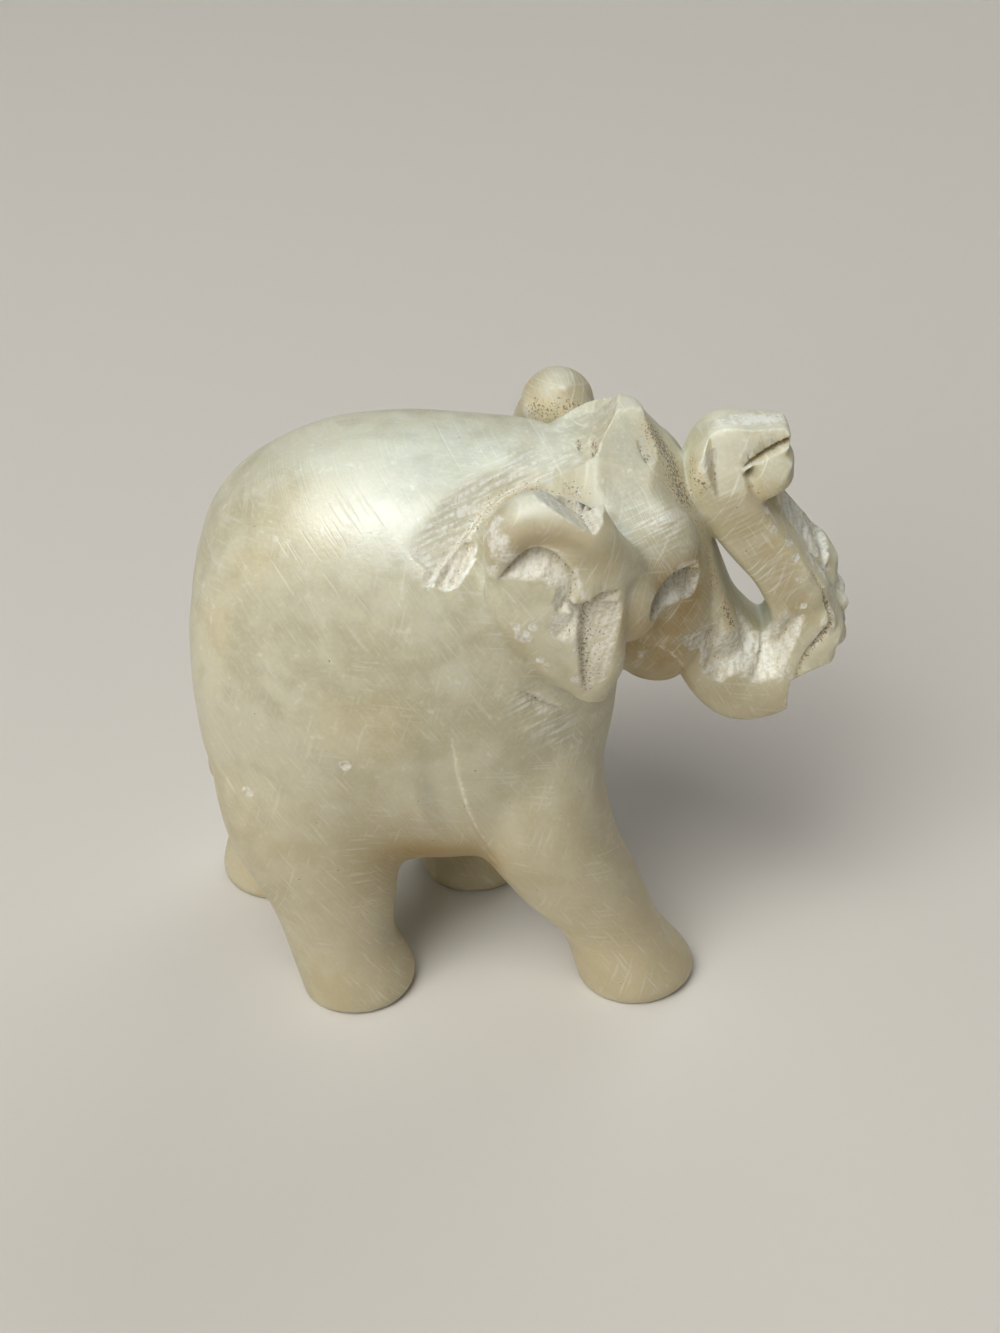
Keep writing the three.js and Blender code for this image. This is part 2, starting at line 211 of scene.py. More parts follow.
tail = loft(
    [
        (-27.8, 0.4, 43.0, 0.9, 1.2, ROUND),
        (-27.8, 0.5, 38.0, 1.2, 1.3, ROUND),
        (-27.6, 0.6, 31.0, 1.5, 1.4, ROUND),
        (-27.5, 0.8, 24.0, 1.8, 1.5, ROUND),
        (-27.6, 1.0, 18.5, 2.0, 1.7, ROUND),
    ],
    level, sides=40, start_dome=1.0, end_dome=2.4,
)
print("barrel", len(barrel[0]), "points; tail", len(tail[0]))

# %% [markdown]
# The legs are level sections from the sole up into the barrel. The animal walks: the near front leg
# reaches forward and both far legs stand further back. Each foot flares a little over a smaller sole.

# %% Legs
FOOT = 5.6
SOLE_INSET = 0.35
ANKLE = 4.5
LEGS = {
    "near_rear": [
        (-15.4, -8.9, 1.6, FOOT, FOOT),
        (-16.8, -9.0, 6.4, ANKLE + 0.8, ANKLE + 0.2),
        (-17.4, -8.8, 11.6, 6.2, 5.0),
        (-18.5, -8.0, 18.0, 8.2, 6.1),
        (-18.4, -6.8, 25.0, 9.4, 6.8),
        (-17.8, -5.2, 33.0, 8.8, 7.0),
    ],
    "far_rear": [
        (-24.6, 7.8, 1.6, FOOT, FOOT),
        (-24.2, 8.2, 6.4, ANKLE + 0.2, ANKLE),
        (-23.0, 8.4, 11.6, 5.4, 5.0),
        (-21.4, 7.8, 18.0, 7.0, 5.9),
        (-19.6, 6.6, 25.0, 8.4, 6.6),
        (-18.4, 5.2, 33.0, 8.4, 7.0),
    ],
    "near_front": [
        (11.4, -7.6, 1.8, FOOT + 0.2, FOOT),
        (9.0, -8.0, 6.6, ANKLE + 0.5, ANKLE + 0.1),
        (5.7, -8.3, 12.0, 6.1, 5.1),
        (2.4, -8.2, 18.6, 6.6, 5.8),
        (0.8, -7.0, 26.0, 7.0, 6.2),
        (0.4, -5.6, 34.0, 7.2, 6.4),
    ],
    "far_front": [
        (-4.0, 8.8, 1.6, FOOT, FOOT),
        (-3.6, 8.8, 6.4, ANKLE, ANKLE),
        (-2.4, 8.6, 11.6, 5.2, 4.9),
        (-0.8, 8.1, 18.0, 6.2, 5.6),
        (0.2, 7.0, 26.0, 7.0, 6.2),
        (0.4, 5.6, 34.0, 7.2, 6.4),
    ],
}


def leg(rows):
    """A leg on its sole, which is the foot's section at the ground, drawn in all round by SOLE_INSET."""
    x, y, _, length, width = rows[0]
    sole = (x, y, 0.0, length - SOLE_INSET, width - SOLE_INSET)
    return loft([(*row, ROUND) for row in (sole, *rows)], level, end_dome=2.0)


legs = [leg(rows) for rows in LEGS.values()]
print("legs", len(legs))

# %% [markdown]
# The head narrows to the jaw below and to the crown above. The trunk is blockier in section: it comes
# off the face, turns up in a thick bend and climbs back to the forehead, where its upper lip points
# forward over a small lower lip. A thin flange follows its outside.

# %% Head and trunk
HEAD_HALF_WIDTH = 10.2
TRUNK_WIDE = 4.1
TRUNK_THICK = 2.7


def lump(centre, half_length, half_width, half_height):
    """An ellipsoid about centre: a level circle that shrinks as the cosine and climbs as the sine."""
    angle = np.linspace(-np.pi / 2, np.pi / 2, 26)[1:-1]
    x, y, z = centre
    rows = np.column_stack([
        np.full_like(angle, x), np.full_like(angle, y), z + half_height * np.sin(angle),
        half_length * np.cos(angle), half_width * np.cos(angle), np.full_like(angle, ROUND),
    ])
    return loft(rows, level, rings=len(rows), sides=48)


head = loft(
    [
        (12.6, 0, 31.6, 3.2, 3.4, ROUND),
        (11.6, 0, 35.0, 5.8, 6.4, FULL),
        (10.1, 0, 39.5, 8.0, HEAD_HALF_WIDTH - 1.6, FULL),
        (8.9, 0, 44.0, 8.6, HEAD_HALF_WIDTH - 0.3, FULL),
        (8.2, 0, 48.0, 8.2, HEAD_HALF_WIDTH, FULL),
        (7.5, 0, 51.8, 6.9, HEAD_HALF_WIDTH - 1.2, ROUND),
        (7.9, 0, 54.8, 4.2, 6.2, ROUND),
        (8.7, 0, 56.6, 2.1, 3.2, ROUND),
    ],
    level, start_dome=1.0, end_dome=0.9,
)
trunk = loft(
    [
        (13.4, 0, 44.6, TRUNK_WIDE + 1.4, 3.8, BLOCKY),
        (15.9, 0, 39.4, TRUNK_WIDE + 1.2, 3.2, BLOCKY),
        (17.7, 0, 34.8, TRUNK_WIDE + 1.0, 3.7, BLOCKY),
        (20.9, 0, 31.3, TRUNK_WIDE + 0.8, 4.3, BLOCKY),
        (24.6, 0, 32.6, TRUNK_WIDE + 0.5, 3.5, BLOCKY),
        (25.9, 0, 37.0, TRUNK_WIDE + 0.2, 3.0, BLOCKY),
        (23.6, 0, 42.2, TRUNK_WIDE, TRUNK_THICK, BLOCKY),
        (20.0, 0, 46.8, TRUNK_WIDE, TRUNK_THICK, BLOCKY),
        (17.4, 0, 50.8, TRUNK_WIDE, TRUNK_THICK, BLOCKY),
        (17.8, 0, 53.5, TRUNK_WIDE - 0.4, 2.2, BLOCKY),
        (20.4, 0, 54.5, TRUNK_WIDE - 0.8, 1.2, BLOCKY),
        (22.6, 0, 54.8, TRUNK_WIDE - 1.2, 0.9, BLOCKY),
    ],
    carried, rings=140, end_dome=0.8,
)
lip = loft(
    [
        (20.4, -0.6, 49.6, 1.0, 2.6, FULL),
        (21.6, -0.6, 51.0, 2.1, 3.0, FULL),
        (21.9, -0.6, 52.8, 2.0, 2.9, FULL),
    ],
    level, start_dome=0.6, end_dome=1.2,
)
flange = loft(
    [
        (22.4, 1.4, 48.2, 2.4, 0.9, FULL),
        (26.4, 1.5, 42.8, 2.5, 1.4, FULL),
        (28.6, 1.5, 37.4, 2.5, 1.5, FULL),
        (28.5, 1.4, 33.0, 2.4, 1.5, FULL),
        (26.6, 1.0, 30.2, 2.2, 1.2, FULL),
    ],
    carried, start_dome=0.8, end_dome=0.8,
)
print("trunk", len(trunk[0]), "points")

# %% [markdown]
# An ear lies flat against the shoulder, thin at its tip. A thick rim rolls over its top and runs down
# the front into the cheek. The far ear is narrower at the top, so the same functions take its sizes.

# %% Ears and cheeks
NEAR, FAR = -1, 1
EAR_OUT = 12.8
EAR_MIDDLE = 3.4
RIM = 2.1
# For each side: the lobe's half length at the middle and the top, then the rim's spread and drop.
EARS = {NEAR: (5.8, 5.0, 1.0, 0.0), FAR: (4.0, 3.4, 0.3, 2.8)}
FAR_SHIFT = 0.2


def ear(side):
    """The flat lobe: level sections from the tip up, on one side of the head."""
    middle, top, _, _ = EARS[side]
    shift = FAR_SHIFT if side == FAR else 0.0
    rows = [
        (6.2, EAR_OUT - 0.7, 36.2, 1.6, 1.2),
        (5.0, EAR_OUT - 0.1, 39.5, 4.0, 2.0),
        (3.6, EAR_OUT + 0.2, 44.0, 5.4, 2.3),
        (3.2, EAR_OUT, 48.5, middle, 2.4),
        (3.5, EAR_OUT - 0.5, 51.6, top, 2.5),
        (3.7, EAR_OUT - 1.4, 53.6, top - 1.4, 2.3),
    ]
    stations = [(x + shift, out * side, z, length, width, ROUND) for x, out, z, length, width in rows]
    return loft(stations, level, start_dome=1.0, end_dome=1.4)


def rim(side):
    """The roll over the ear's top: a round section carried along a path that bends down to the cheek."""
    _, _, spread, drop = EARS[side]
    top = [(-4.9, 0.2, 49.4, 1.6, 1.2), (-4.3, 0.1, 52.0, RIM, 1.8), (-2.4, -0.2, 53.6, RIM + 0.2, RIM),
           (0.6, -0.2, 53.4, RIM + 0.2, RIM)]
    stations = [
        (EAR_MIDDLE + x * spread, (EAR_OUT + out) * side, z - drop, width, thick, ROUND)
        for x, out, z, width, thick in top
    ] + [
        (6.4, (EAR_OUT - 0.4) * side, 51.2 - drop, RIM + 0.2, RIM, ROUND),
        (8.2, (EAR_OUT - 1.6) * side, 48.2, RIM + 0.2, RIM, ROUND),
        (9.6, (EAR_OUT - 3.8) * side, 45.0, RIM, RIM, ROUND),
    ]
    return loft(stations, carried, sides=40, start_dome=1.0, end_dome=1.0)


ears = [make(side) for side in EARS for make in (ear, rim)]
cheeks = [lump((9.4, 6.4 * side, 46.4), 6.2, 4.5, 6.4) for side in EARS]
jowls = [lump((8.8, 9.6 * side, 44.6), 3.4, 3.4, 4.4) for side in EARS]
knob = lump((3.7, 11.6, 51.8), 3.3, 3.4, 3.3)
print("ear pieces", len(ears))

# %% [markdown]
# In the stone all these masses are one skin. Boolean unions would keep every seam, so the overlapping
# surfaces go through a voxel remesh, which keeps only the outside, as one even net of small squares.
# The body is joined first on a coarser net, because it needs the most smoothing.

# %% Joining the masses
ROUGH_VOXEL = 0.42
FINE_VOXEL = 0.2


def joined(masses):
    """All masses as one list of points and one of faces, the indices moved on mass by mass."""
    offsets = np.cumsum([0] + [len(points) for points, _ in masses[:-1]])
    points = np.vstack([points for points, _ in masses])
    return points, np.vstack([faces + offset for (_, faces), offset in zip(masses, offsets)])


def finished_mesh(points, faces, kind, settings, attributes=()):
    """A mesh of these points after one modifier of this kind, with its settings by name."""
    mesh = bpy.data.meshes.new("block")
    mesh.from_pydata(points, [], faces)
    for name, values in dict(attributes).items():
        mesh.attributes.new(name, "FLOAT", "POINT").data.foreach_set("value", values.astype(np.float32))
    block = bpy.data.objects.new("block", mesh)
    bpy.context.scene.collection.objects.link(block)
    modifier = block.modifiers.new("finish", kind)
    for name, value in settings.items():
        setattr(modifier, name, value)
    depsgraph = bpy.context.evaluated_depsgraph_get()
    made = bpy.data.meshes.new_from_object(block.evaluated_get(depsgraph))
    bpy.data.objects.remove(block)
    bpy.data.meshes.remove(mesh)
    return made


def remeshed(points, faces, voxel):
    """The outside of a set of closed surfaces, as points and quads, by the Remesh modifier."""
    made = finished_mesh(points, faces, "REMESH", {"mode": "VOXEL", "voxel_size": voxel})
    net = np.empty(len(made.vertices) * 3, np.float32)
    made.vertices.foreach_get("co", net)
    quads = np.empty(len(made.loops), np.int32)
    made.loops.foreach_get("vertex_index", quads)
    bpy.data.meshes.remove(made)
    return net.reshape(-1, 3).astype(float), quads.reshape(-1, 4)


rough, rough_quads = remeshed(*joined([barrel, tail, *legs]), ROUGH_VOXEL)
print("body", len(rough), "points")

# %% [markdown]
# A carver leaves no creases where a leg meets the belly. Each hollow fold is filled a little at a time, by
# lifting every point that lies below the mean of its neighbours, and then the whole net is smoothed. The
# head stays crisper: it joins on a finer net, and only the folds beside the face are filled as much.

# %% One skin
BODY_FILL, HEAD_FILL, FACE_FILL = (0.7, 60), (0.3, 12), (0.9, 30)
BODY_SMOOTH, HEAD_SMOOTH = 3, 5


def normals(points, quads):
    """Unit normals: at each point, the sum of its faces' crossed diagonals."""
    a, b, c, d = (points[quads[:, k]] for k in range(4))
    facing = np.repeat(np.cross(c - a, d - b), 4, axis=0)
    total = np.stack([np.bincount(quads.ravel(), facing[:, k], len(points)) for k in range(3)], -1)
    return total / np.linalg.norm(total, axis=1, keepdims=True)


def around(values, quads):
    """The mean of the neighbours' values; in a closed net the faces' own edges name each one once."""
    start, end = quads.ravel(), np.roll(quads, -1, axis=1).ravel()
    total = [np.bincount(start, column[end], len(column)) for column in values.T]
    return np.stack(total, -1) / np.bincount(start, minlength=len(values))[:, None]


def fill_folds(points, quads, strength, times):
    """Lifts points along their normals, by strength times how far they lie below their neighbours."""
    for _ in range(times):
        out = normals(points, quads)
        rise = np.einsum("ij,ij->i", around(points, quads) - points, out)
        points = points + out * (strength * np.maximum(rise, 0))[:, None]
    return points


def smooth(points, quads, times):
    """Takes out small steps but keeps the volume: a pull to the neighbours, then a weaker push back."""
    for _ in range(times):
        points = points + 0.5 * (around(points, quads) - points)
        points = points - 0.53 * (around(points, quads) - points)
    return points


def step(value, low, high):
    """0 below low, 1 above high, and a smooth climb 3u^2 - 2u^3 between them; low may be the higher."""
    u = np.clip((value - low) / (high - low), 0, 1)
    return u * u * (3 - 2 * u)


rough = smooth(fill_folds(rough, rough_quads, *BODY_FILL), rough_quads, BODY_SMOOTH)
body = rough, np.vstack([rough_quads[:, :3], rough_quads[:, [0, 2, 3]]])
masses = [body, head, trunk, lip, flange, *ears, *cheeks, *jowls, knob]
skin, quads = remeshed(*joined(masses), FINE_VOXEL)
skin = fill_folds(skin, quads, *HEAD_FILL)
strength, times = FACE_FILL
beside_face = step(np.abs(skin[:, 1]), 4.5, 7) * step(skin[:, 0], 14, 12) * step(skin[:, 2], 30, 34)
skin = smooth(fill_folds(skin, quads, strength * beside_face, times), quads, HEAD_SMOOTH)
print("skin", len(skin), "points,", 2 * len(quads), "triangles")

# %% [markdown]
# Now the knife work. Each cut is a tool drawn along a path: seen along the direction the tool came from,
# a point that stands higher than the tool's edge is pushed down onto it. Different slopes on the two
# sides of the path give a gouge, a V-cut, or a steep wall beside a broad facet. Fresh-cut stone is chalky
# and rough, and dirt gathers along the bottom of a cut, so every cut also leaves those two marks.

# %% Cutting tools
# A cut has the direction that the tool came from, its path, slope and curve to the left and right, the
# chalk on those sides, dirt, a rake, the worn edge, the rise past its ends and how much it can take off.
CUT_DEFAULTS = ((1, 1), 0.0, None, 0.08, 1.5, 3.6)
Cut = namedtuple("Cut", "out path left right chalk dirt rake wear ends reach", defaults=CUT_DEFAULTS)
BOTH_SIDES = ("recess", "notch", "ear front", "lobe edge", "mouth")
marks = {name: np.zeros(len(skin)) for name in ("chalk", "dirt", "glow_and_shade", "rake")}


def to_path(points, path, out):
    """Nearest place on a run of straight pieces, seen along out: the distance across, with a plus sign on
    the left of the run, the distance past its ends, and the path's height there."""
    flat, line = points - np.outer(points @ out, out), path - np.outer(path @ out, out)
    best, across, past, height = (np.full(len(points), start) for start in (np.inf, 0.0, 0.0, 0.0))
    for k, (a, b) in enumerate(zip(line[:-1], line[1:])):
        along = b - a
        t = (flat - a) @ along / (along @ along)
        end = (k == 0) * np.minimum(t, 0) + (k == len(line) - 2) * np.maximum(t - 1, 0)
        t = np.clip(t, 0, 1)
        away = flat - a - t[:, None] * along
        gap = np.linalg.norm(away, axis=1)
        beyond = np.abs(end) * np.linalg.norm(along)
        side = np.where(away @ np.cross(out, along) < 0, -1, 1) * np.sqrt(np.maximum(gap**2 - beyond**2, 0))
        closer = gap < best
        best, across = np.where(closer, gap, best), np.where(closer, side, across)
        past = np.where(closer, beyond, past)
        height = np.where(closer, (path[k] + t[:, None] * (path[k + 1] - path[k])) @ out, height)
    return across, past, height


def carve(cut, side):
    """Lowers the skin to the tool's floor, the path's height + slope*d + curve*d^2 at distance d across,
    and keeps what was cut as marks, chalk for the left and the right side. A rake is a direction, a
    spacing and a depth of ripples on the floor. The far side is cut in a mirror."""
    mirror = np.array([1, -side, 1])
    out = np.array(cut.out) * mirror
    out = out / np.linalg.norm(out)
    rows = run_through(cut.path, 5 * len(cut.path))
    path = rows[:, :3] * mirror - rows[:, 3:] * out
    inside = (skin > path.min(0) - cut.reach - 2) & (skin < path.max(0) + cut.reach + 2)
    near = np.flatnonzero(inside.all(1))
    gap, past, floor = to_path(skin[near], path, out)
    on_left = gap * -side > 0
    slope, curve = np.where(on_left[:, None], cut.left, cut.right).T
    above = skin[near] @ out - floor - slope * np.abs(gap) - curve * gap**2 - cut.ends * past
    drop = np.where(above > cut.wear, above, np.maximum(above + cut.wear, 0) ** 2 / (4 * cut.wear))
    drop = drop * step(above, cut.reach, 0.6 * cut.reach) * step(np.abs(gap), cut.reach + 2, cut.reach)
    fresh = step(drop, 0.02, 0.2)
    if cut.rake:
        across, spacing, depth = cut.rake
        turns = skin[near] @ (np.array(across) * mirror) / spacing + 0.3 * waves(skin[near], 7.0, 3)
        phase = 2 * np.pi * turns
        ripple = 0.5 + 0.3 * np.sin(phase) + 0.2 * np.sin(1.73 * phase) * waves(skin[near], 5.0, 4)
        drop = drop + fresh * depth * ripple
        marks["rake"][near] = np.maximum(marks["rake"][near], fresh)
    skin[near] -= np.outer(drop, out)
    marks["chalk"][near] = np.maximum(marks["chalk"][near], np.where(on_left, *cut.chalk) * fresh)
    marks["dirt"][near] = np.maximum(marks["dirt"][near], cut.dirt * fresh * np.exp(-((gap / 1.1) ** 2)))
    return drop.max()


def waves(points, size, seed, count=10):
    """Soft hills and hollows of about one size: a sum of sine waves in seeded directions."""
    dice = np.random.default_rng(seed)
    heading = dice.normal(size=(count, 3))
    heading *= dice.uniform(0.7, 1.4, (count, 1)) / np.linalg.norm(heading, axis=1, keepdims=True)
    return np.sin(2 * np.pi * points @ heading.T / size + dice.uniform(0, 7, count)).sum(1) / count**0.5


def carve_all(cuts):
    """Carves a table of cuts in order, and those of BOTH_SIDES on the far side too."""
    for name, cut in cuts.items():
        depth = carve(cut, NEAR)
        if name in BOTH_SIDES:
            carve(cut, FAR)
        print(name, "cut", round(depth, 2), "mm deep")


out = normals(skin, quads)
skin += out * (0.12 * waves(skin, 17.0, 1) + 0.03 * waves(skin, 6.0, 2))[:, None]
skin[:, 2] = np.maximum(skin[:, 2], 0)
print("uneven by hand,", len(marks), "marks ready")

# %% [markdown]
# Round the top of the ear runs a groove with a raked facet behind it and three scores at its end. A pit
# lies where the rim meets the cheek, a recess under the rim, then a notch and a long V-cut with a broad
# facet in front of the lobe. A row of a path is a place on the surface and the depth cut there.

# %% Cuts of the ears
WALL, BEVEL, FLOOR = (6.0, 0.0), (1.6, 0.0), (0.45, 0.0)
SCORED, SIDEWAYS = (0.1, -0.8, 0.55), (0.05, -0.99, 0.08)
EAR_CUTS = {
    "neck groove": Cut(
        (0.15, -0.65, 0.75),
        [(-6.9, -12.3, 48.2, 0.1), (-4.6, -10.5, 50.4, 0.6), (-3.0, -8.7, 51.9, 0.9),
         (-1.1, -6.9, 52.9, 0.9), (1.4, -5.8, 53.3, 0.8), (4.2, -6.4, 53.9, 0.7)],
        (0.14, 0.015), WALL, (0.3, 0.3), 0.5, ((-0.45, 0.5, 0.74), 0.62, 0.05), wear=0.5, reach=2.2,
    ),
    "first score": Cut(
        SCORED, [(-7.6, -12.7, 47.5, 0.05), (-5.4, -10.9, 50.2, 0.3)],
        (0.6, 0), (0.4, 0), reach=1.0,
    ),
    "second score": Cut(
        SCORED, [(-6.4, -12.6, 47.2, 0.1), (-4.6, -10.8, 49.6, 0.35)],
        (0.6, 0), (0.5, 0), dirt=0.3, reach=1.0,
    ),
    "third score": Cut(
        SCORED, [(-5.4, -12.4, 47.2, 0.1), (-3.9, -10.6, 49.8, 0.4)],
        (0.5, 0), BEVEL, dirt=0.4, reach=1.0,
    ),
    "pit": Cut(
        (0.2, -0.45, 0.87), [(3.8, -7.4, 54.2, 0.8), (4.8, -10.0, 54.6, 1.8), (6.0, -14.6, 53.4, 0.1)],
        (0.7, 0), (0.7, 0), (0.9, 0.9), 0.65,
    ),
    "recess": Cut(
        SIDEWAYS,
        [(-1.5, -14.6, 49.3, 0.2), (-0.5, -14.6, 50.6, 0.9), (0.6, -14.6, 51.6, 1.3),
         (1.6, -14.6, 51.9, 1.4), (2.8, -14.8, 51.5, 1.4), (3.5, -14.9, 50.8, 1.3),
         (4.4, -15.0, 49.7, 1.1), (4.7, -15.1, 48.5, 1.0), (4.3, -15.2, 47.2, 0.9),
         (3.4, -15.3, 46.4, 0.7)],
        WALL, (0.55, 0), (0.1, 0.8), 0.35, ((0.8, 0, 0.6), 0.5, 0.05),
    ),
    "notch": Cut(
        SIDEWAYS,
        [(3.2, -15.3, 46.2, 0.4), (4.1, -15.3, 46.9, 0.9), (5.1, -15.2, 46.8, 1.3),
         (5.9, -15.1, 46.9, 1.4), (6.7, -14.8, 47.6, 1.2), (8.3, -14.0, 47.8, 0.2)],
        WALL, FLOOR, (0.1, 0.7), 0.35,
    ),
    "ear front": Cut(
        (0.12, -0.99, 0.0),
        [(5.5, -15.2, 46.4, 1.5), (5.5, -15.2, 43.5, 1.2), (5.5, -14.9, 40.9, 0.7),
         (5.7, -13.8, 37.3, 0.0)],
        (0.14, 0), BEVEL, (0.6, 0.4), 0.75, ((0.6, 0, 0.8), 0.6, 0.04),
    ),
    "lobe facet": Cut(
        (-0.1, -0.99, 0.0), [(4.6, -15.3, 45.4, 0.6), (3.4, -15.2, 43.8, 0.4)],
        (0.3, 0), (0.3, 0), (0.8, 0.8), 0.5, ((0.7, 0, 0.7), 0.45, 0.06),
    ),
    "lobe edge": Cut(
        (0.45, -0.89, 0.06),
        [(0.2, -13.9, 37.6, 0.2), (1.5, -13.5, 36.5, 0.7), (2.6, -13.0, 35.3, 0.7),
         (4.6, -11.6, 33.8, 0.3)],
        BEVEL, FLOOR, (0.5, 0.5), 0.3,
    ),
}
carve_all(EAR_CUTS)

# %% [markdown]
# The mouth is one deep stroke into the cheek, with a chalky floor. A shallow line sets the jaw off from the
# chin, and a longer one draws the front of the leg on the flank.

# %% Cuts of the mouth, jaw and leg
FACE_CUTS = {
    "mouth": Cut(
        (0.45, -0.88, 0.1),
        [(11.2, -10.4, 43.9, 0.3), (12.6, -10.0, 45.0, 1.5), (13.9, -9.4, 45.6, 2.0),
         (15.3, -7.9, 45.4, 1.6)],
        (1.4, 0), (0.6, 0), (0.0, 1.0), 0.6, ((0.7, 0, -0.7), 0.5, 0.05),
    ),
    "jaw": Cut(
        (0.1, -0.9, -0.4),
        [(10.9, -8.0, 38.1, 0.0), (11.9, -7.9, 38.0, 0.6), (13.5, -6.8, 36.1, 0.6),
         (14.9, -4.6, 33.4, 0.2)],
        (2.0, 0), (0.1, 0), (0.1, 0.0), 0.4, wear=0.25, ends=3.0, reach=1.4,
    ),
    "leg line": Cut(
        (-0.1, -0.99, 0.0),
        [(-5.9, -15.1, 35.0, 0.0), (-5.5, -15.0, 31.0, 0.3), (-4.9, -14.4, 26.0, 0.55),
         (-3.7, -13.4, 21.5, 0.6), (-2.0, -12.4, 17.5, 0.4)],
        (1.8, 0), (0.1, 0), (0.05, 0.0), 0.1, wear=0.25, ends=1.0, reach=2.0,
    ),
}
carve_all(FACE_CUTS)

# %% [markdown]
# The crown is faceted: a scoop runs up its back with two short slits in it, and flat strokes leave a
# ridge down to the forehead.

# %% Cuts of the crown
CROWN_CUTS = {
    "scoop": Cut(
        (-0.5, -0.2, 0.85), [(4.6, -4.4, 54.7, 0.6), (5.4, -1.0, 55.8, 1.1), (6.0, 3.5, 55.8, 1.1)],
        (0, 0.1), (0, 0.1), (0.35, 0.35), 0.1, wear=0.1, ends=0.3,
    ),
    "first slit": Cut(
        (-0.5, -0.1, 0.86), [(4.9, 0.4, 54.7, 0.2), (5.0, -1.4, 54.6, 0.7), (5.1, -2.9, 54.3, 0.2)],
        (1.5, 0), WALL, (0.4, 0.4), 1.0,
    ),
    "second slit": Cut(
        (-0.4, -0.2, 0.87), [(6.1, -1.5, 55.0, 0.3), (6.3, -3.0, 54.9, 0.7), (6.4, -4.3, 54.6, 0.3)],
        (1.5, 0), WALL, (0.4, 0.4), 1.0,
    ),
    "brow": Cut(
        (0.22, -0.62, 0.75), [(9.4, -2.6, 56.3, 0.7), (8.8, -5.4, 54.6, 0.25)],
        (0.0, 0.01), (0.0, 0.01), (0.1, 0.1), wear=0.15, ends=0.05,
    ),
    "ridge": Cut(
        (0.6, -0.4, 0.7), [(10.0, -1.2, 56.6, 0.1), (10.4, -3.0, 55.3, 0.4), (10.8, -4.2, 54.2, 0.1)],
        (0.5, 0), (0.8, 0), (0.3, 0.3), 0.9,
    ),
}
carve_all(CROWN_CUTS)

# %% [markdown]
# On the trunk the smooth near face ends at a grooved edge; the outer face beyond it is raked across and
# the flange is wavy. The bend has a chalky facet above its round underside, and a slit parts the lips.

# %% Cuts of the trunk
TRUNK_CUTS = {
    "edge": Cut(
        (0.45, -0.85, 0.3),
        [(21.4, -3.6, 49.6, 0.2), (22.2, -3.7, 48.4, 0.5), (23.9, -3.9, 46.2, 0.5),
         (26.2, -4.0, 42.9, 0.5), (27.7, -4.0, 39.6, 0.5), (27.3, -4.2, 37.3, 0.5),
         (25.9, -4.4, 34.9, 0.4), (25.2, -4.6, 32.6, 0.4)],
        (0.8, 0), (2.0, 0), (0.6, 0.3), 0.9, ends=4.0,
    ),
    "outer face": Cut(
        (0.78, -0.1, 0.62),
        [(23.2, -0.6, 48.1, 0.3), (24.4, -0.6, 46.5, 0.35), (25.6, -0.6, 44.9, 0.35),
         (27.4, 0.0, 42.6, 0.2)],
        (0.05, 0), (0.05, 0), (0.7, 0.7), 0.3, ((0.62, 0, -0.78), 0.8, 0.16), ends=4.0,
    ),
    "flange": Cut(
        (1.0, -0.1, 0.1),
        [(28.6, 1.2, 41.5, 0.1), (29.9, 1.4, 37.5, 0.15), (29.9, 1.3, 34.0, 0.15), (28.6, 1.2, 31.0, 0.1)],
        (0.1, 0), (0.1, 0), (0.6, 0.6), 0.1, ((0.1, 0, -0.99), 2.4, 0.6),
    ),
    "bend facet": Cut(
        (0.0, -0.6, 0.8),
        [(16.8, -5.0, 33.5, 0.0), (18.2, -5.0, 32.4, 0.1), (19.6, -5.0, 33.3, 0.1),
         (21.4, -5.0, 32.0, 0.1), (23.8, -4.8, 32.4, 0.1)],
        (0.02, 0), (0.8, 0.1), (0.65, 0.6), 0.25, ((0.8, 0.5, 0.2), 0.8, 0.08), wear=0.4, ends=2.0,
    ),
    "bend end": Cut(
        (0.3, -0.95, 0.0), [(25.4, -4.6, 32.6, 0.4), (25.3, -4.6, 31.0, 0.8), (25.2, -4.6, 29.0, 0.6)],
        (0.9, 0), (0.9, 0), (0.4, 0.4), 0.6,
    ),
    "slot": Cut(
        (-0.3, -0.8, 0.5), [(16.7, -3.0, 55.0, 0.2), (16.2, -3.6, 54.2, 0.6), (15.8, -3.7, 53.2, 0.2)],
        (1.0, 0), (1.0, 0),
    ),
    "lip face": Cut(
        (0.15, -0.83, 0.54), [(16.6, -2.3, 53.6, 0), (19.6, -2.2, 54.0, 0), (24.0, -1.6, 54.5, 0)],
        (0, 0), (0, 0), (0.1, 0.1), wear=0.2, ends=1.0,
    ),
    "slit": Cut(
        (0.35, -0.9, 0.25),
        [(19.0, -3.2, 52.9, 0.2), (20.0, -2.7, 53.5, 1.0), (21.3, -2.2, 54.2, 1.4),
         (22.7, -1.8, 54.8, 1.4), (24.0, -1.4, 55.2, 1.2)],
        WALL, (2.4, 0), (0.1, 0.2), 0.8, reach=2.4,
    ),
    "bend notch": Cut(
        (0.45, -0.5, -0.74),
        [(24.6, -5.6, 32.8, 0), (24.9, -4.0, 31.8, 0), (25.6, 0.0, 29.0, 0), (26.4, 5.0, 25.6, 0)],
        (0.02, 0), (0.9, 0.35), (0.5, 0.2), 0.3, ((0.9, 0, 0.43), 1.9, 0.25),
    ),
}
carve_all(TRUNK_CUTS)
FLANGE_WAVE = 0.28
wavy_edge = step(skin[:, 0] + 0.3 * (skin[:, 2] - 36), 26.5, 29.0) * step(np.abs(skin[:, 2] - 37), 10, 7)
skin += normals(skin, quads) * (FLANGE_WAVE * wavy_edge * waves(skin, 2.6, 9))[:, None]
